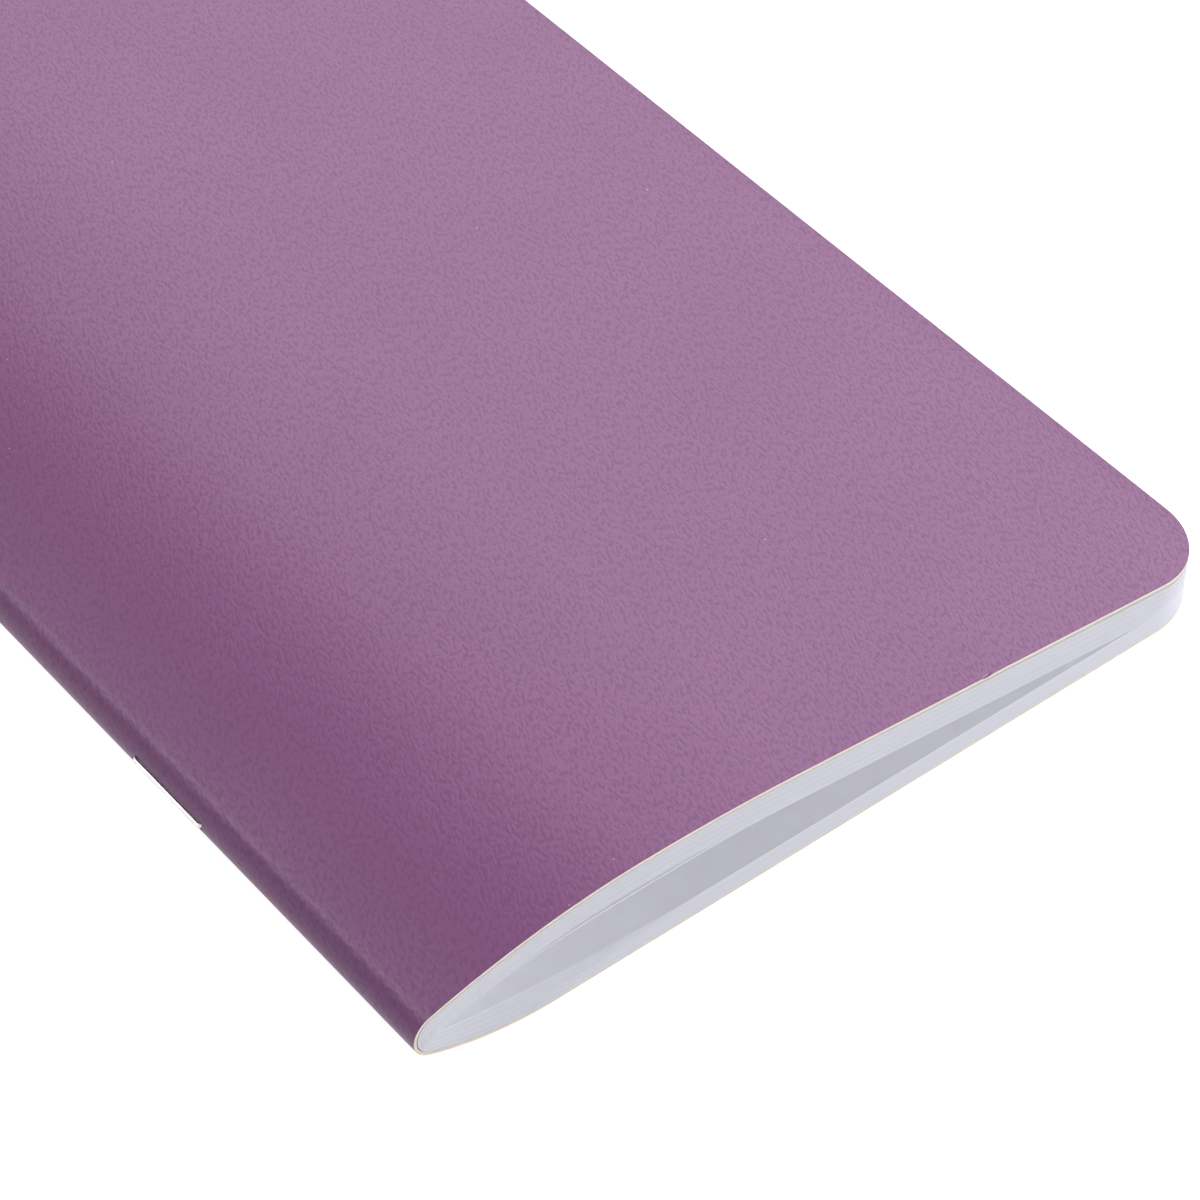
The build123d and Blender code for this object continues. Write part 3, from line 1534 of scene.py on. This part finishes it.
@dataclass
class PageBlock:
    """The nested sheets: stiff leaves, and the folds between them."""

    form: BookForm
    seats: StapleSeats
    trimmer: Trimmer
    stocks: list[bpy.types.Material]
    stock_order: tuple[int, ...] = (0, 2, 2, 1, 3, 0, 0, 2, 1, 1, 3)
    overlap: float = 0.4 * MM
    smooth_angle: float = math.radians(30)
    leave_steps: int = 10
    fold_steps: int = 26
    front_bow: Bow = Bow(-0.38 * MM, 5.0 * MM, 42.0 * MM)
    back_bow: Bow = Bow(0.13 * MM, 5.0 * MM, 34.0 * MM)
    front_bowed: int = 2

    def paper(self, place: int) -> bpy.types.Material:
        """Paper of the sheet at a place in the nest, in small uneven groups."""
        return self.stocks[self.stock_order[place % len(self.stock_order)]]

    def leaf_names(self, place: int) -> tuple[str, str]:
        """Names of the front and the back leaf of the sheet at a place in the nest."""
        sheets = self.form.sheets
        return f"leaf_{sheets - place:02d}", f"leaf_{sheets + 1 + place:02d}"

    def bowed(self, place: int, front: bool) -> Piece:
        """Make a leaf of the centre spread, which stands a little off the rest of its half.

        Args:
            place: Its sheet's place in the nest, 0 for the innermost.
            front: Whether it is the sheet's front leaf.

        Returns:
            The leaf.
        """
        section = self.form.paper_section(place)
        if front:
            node, bow = self.leaf_names(place)[0], self.front_bow
            foot, runs = section.front_foot(self.overlap), section.front_runs(self.overlap)
        else:
            node, bow = self.leaf_names(place)[1], self.back_bow
            foot, runs = section.back_foot(self.overlap), section.back_runs(self.overlap)
        made = self.trimmer.leaf(f"bowed_{node}", foot, runs, self.form.paper)
        with Bench.shaping(made) as shape:
            for vertex in shape.verts:
                vertex.co.z += bow.at(vertex.co.x - self.form.fold[0])
            bmesh.update_edit_mesh(made.data)
        made.data.materials.append(self.paper(place))
        Bench.smooth(made, self.smooth_angle)
        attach(made, node)
        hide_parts(node)
        return made

    def fold(self, place: int, holes: Piece) -> Piece:
        """Make the fold of one sheet, pierced by the staples.

        Args:
            place: The sheet's place in the nest, 0 for the innermost.
            holes: The solid that cuts the holes.

        Returns:
            The fold.
        """
        section = self.form.paper_section(place)
        name = f"sheet_fold_{self.form.sheets - place:02d}"
        foot, half = section.fold_foot(), self.form.length / 2
        runs = section.fold_runs(self.overlap, self.leave_steps, self.fold_steps)
        made = Bench.upright_edge(name, foot, self.form.paper, -half)
        Bench.sweep(made, runs, self.form.length)
        Bench.trim_at(made, self.form.gutter_x)
        Bench.carve(made, holes, Cut.AWAY)
        section.ease_ends(made)
        made.data.materials.append(self.paper(place))
        Bench.smooth(made, self.smooth_angle)
        start, end = section.gutter_ends()
        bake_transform(made)
        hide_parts("sheet_folds")
        return made

    def build(self, nodes: dict[str, Piece]) -> list[Piece]:
        """Make the folds and the centre spread, and dress the other leaves.

        Args:
            nodes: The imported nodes, by name.

        Returns:
            The leaves of the centre spread, and the folds from the innermost out.
        """
        for place in range(self.form.sheets):
            for name in self.leaf_names(place):
                nodes[name].material_slots[0].material = self.paper(place)
        leaves = [self.bowed(place, True) for place in range(self.front_bowed)]
        leaves.append(self.bowed(0, False))
        holes = self.seats.leg_tool()
        folds = [self.fold(place, holes) for place in range(self.form.sheets)]
        Bench.discard(holes)
        return leaves + folds


@dataclass(frozen=True)
class Softbox:
    """A soft lamp that faces the book."""

    name: str
    place: Place
    size: Point
    radiance: float

    def hang(self) -> None:
        """Hang the lamp, out of the camera's sight."""
        lamp = bpy.data.lights.new(self.name, "AREA")
        lamp.shape = "RECTANGLE"
        lamp.size, lamp.size_y = self.size
        lamp.energy = self.radiance * math.pi * self.size[0] * self.size[1]
        hung = bpy.data.objects.new(self.name, lamp)
        bpy.context.scene.collection.objects.link(hung)
        hung.location = self.place
        hung.rotation_euler = (-Vector(self.place)).to_track_quat("-Z", "Y").to_euler()
        hung.visible_camera = False


@dataclass
class Studio:
    """Pale floor, soft light and the camera."""

    floor_size: float = 8.0
    floor_colour: Colour = (216, 216, 218)
    floor_glow: float = 0.88
    sky_level: float = 0.03
    camera_place: Place = (-206.74741 * MM, -303.78174 * MM, 340.25388 * MM)
    azimuth: float = math.radians(38.654)
    elevation: float = math.radians(45.596)
    roll: float = math.radians(0.3108)
    focal_pixels: float = 4337.7
    image_pixels: float = 1200.0
    sensor: float = 36.0
    clip: Point = (0.01, 100.0)
    softboxes: tuple[Softbox, ...] = (
        Softbox("key_softbox", (0.66, 0.56, 0.70), (0.9, 0.8), 2.0),
        Softbox("right_softbox", (1.02, -0.15, 0.40), (1.4, 0.5), 3.8),
        Softbox("front_softbox", (0.35, -1.05, 0.55), (1.0, 0.5), 5.7),
        Softbox("left_softbox", (-1.1, 0.1, 0.22), (1.0, 0.4), 0.6),
        Softbox("spine_softbox", (-0.50, 0.60, 0.88), (0.35, 0.5), 5.6),
    )

    def lay_floor(self) -> None:
        """Lay a pale floor that keeps the object's shadow and shows almost white."""
        Bench.clear()
        bpy.ops.mesh.primitive_plane_add(size=self.floor_size)
        floor = bpy.context.object
        floor.name = "floor"
        made, wiring, shader = new_material("pale_floor")
        shader.inputs["Base Color"].default_value = linear(self.floor_colour)
        shader.inputs["Roughness"].default_value = 1.0
        shader.inputs["Specular IOR Level"].default_value = 0.0
        shader.inputs["Emission Color"].default_value = (1, 1, 1, 1)
        glow = wiring.math("MULTIPLY", self.seen_directly(wiring), self.floor_glow)
        wiring.feed(shader.inputs["Emission Strength"], glow)
        floor.data.materials.append(made)

    @staticmethod
    def seen_directly(wiring: Wiring) -> Socket:
        """Tell what is seen from what only lights.

        Args:
            wiring: The nodes to add it to.

        Returns:
            1 for rays of the camera and for reflected and transmitted ones, 0 for scattered light.
        """
        path = wiring.add("LightPath").outputs
        mirrored = wiring.math("MAXIMUM", path["Is Camera Ray"], path["Is Glossy Ray"])
        return wiring.math("MAXIMUM", mirrored, path["Is Transmission Ray"])

    def light_sky(self) -> None:
        """Surround the scene with plain white, dimmer as a light than as a background."""
        world = bpy.data.worlds.new("white_studio")
        bpy.context.scene.world = world
        world.use_nodes = True
        wiring = Wiring(world.node_tree)
        backdrop = world.node_tree.nodes["Background"]
        backdrop.inputs["Color"].default_value = (1, 1, 1, 1)
        seen = self.seen_directly(wiring)
        level = wiring.math("MULTIPLY_ADD", seen, 1 - self.sky_level, self.sky_level)
        wiring.feed(backdrop.inputs["Strength"], level)

    def set_camera(self) -> None:
        """Stand the camera where the photograph was taken from."""
        Bench.clear()
        bpy.ops.object.camera_add()
        camera = bpy.context.object
        camera.name = "camera"
        camera.data.sensor_width = self.sensor
        camera.data.lens = self.focal_pixels / self.image_pixels * self.sensor
        camera.data.clip_start, camera.data.clip_end = self.clip
        level, tilt = math.cos(self.elevation), math.sin(self.elevation)
        ahead = Vector((math.sin(self.azimuth) * level, math.cos(self.azimuth) * level, -tilt))
        right = Vector((math.cos(self.azimuth), -math.sin(self.azimuth), 0))
        up = right.cross(ahead)
        across = right * math.cos(self.roll) + up * math.sin(self.roll)
        above = up * math.cos(self.roll) - right * math.sin(self.roll)
        turned = Matrix((across, above, -ahead)).transposed().to_4x4()
        camera.matrix_world = Matrix.Translation(self.camera_place) @ turned
        bpy.context.scene.camera = camera

    def build(self) -> None:
        """Set up the floor, the light, the camera and the view."""
        self.set_camera()
        self.lay_floor()
        self.light_sky()
        for softbox in self.softboxes:
            softbox.hang()
        bpy.context.scene.view_settings.view_transform = "Standard"


def main() -> None:
    """Build the book around its frame, and report each piece."""
    logging.basicConfig(level=logging.INFO, format="%(name)s: %(message)s")
    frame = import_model()
    Bench.clear()
    Studio().build()

    form = BookForm()
    seats = StapleSeats(form)
    trimmer = Trimmer(form)
    cover = CardCover(form, seats, trimmer, CoatFinish().material(), CoreFinish().material())
    pages = PageBlock(form, seats, trimmer, PaperFinish().stocks())
    for piece in cover.build() + pages.build(frame["nodes"]):
        LOG.info("%s: %d faces", piece.name, len(piece.data.polygons))
    Bench.discard(trimmer.block)
    frame["nodes"]["staples"].material_slots[0].material = WireFinish().material()
    LOG.info("staples: as packed, with drawn wire")


if __name__ == "__main__":
    main()
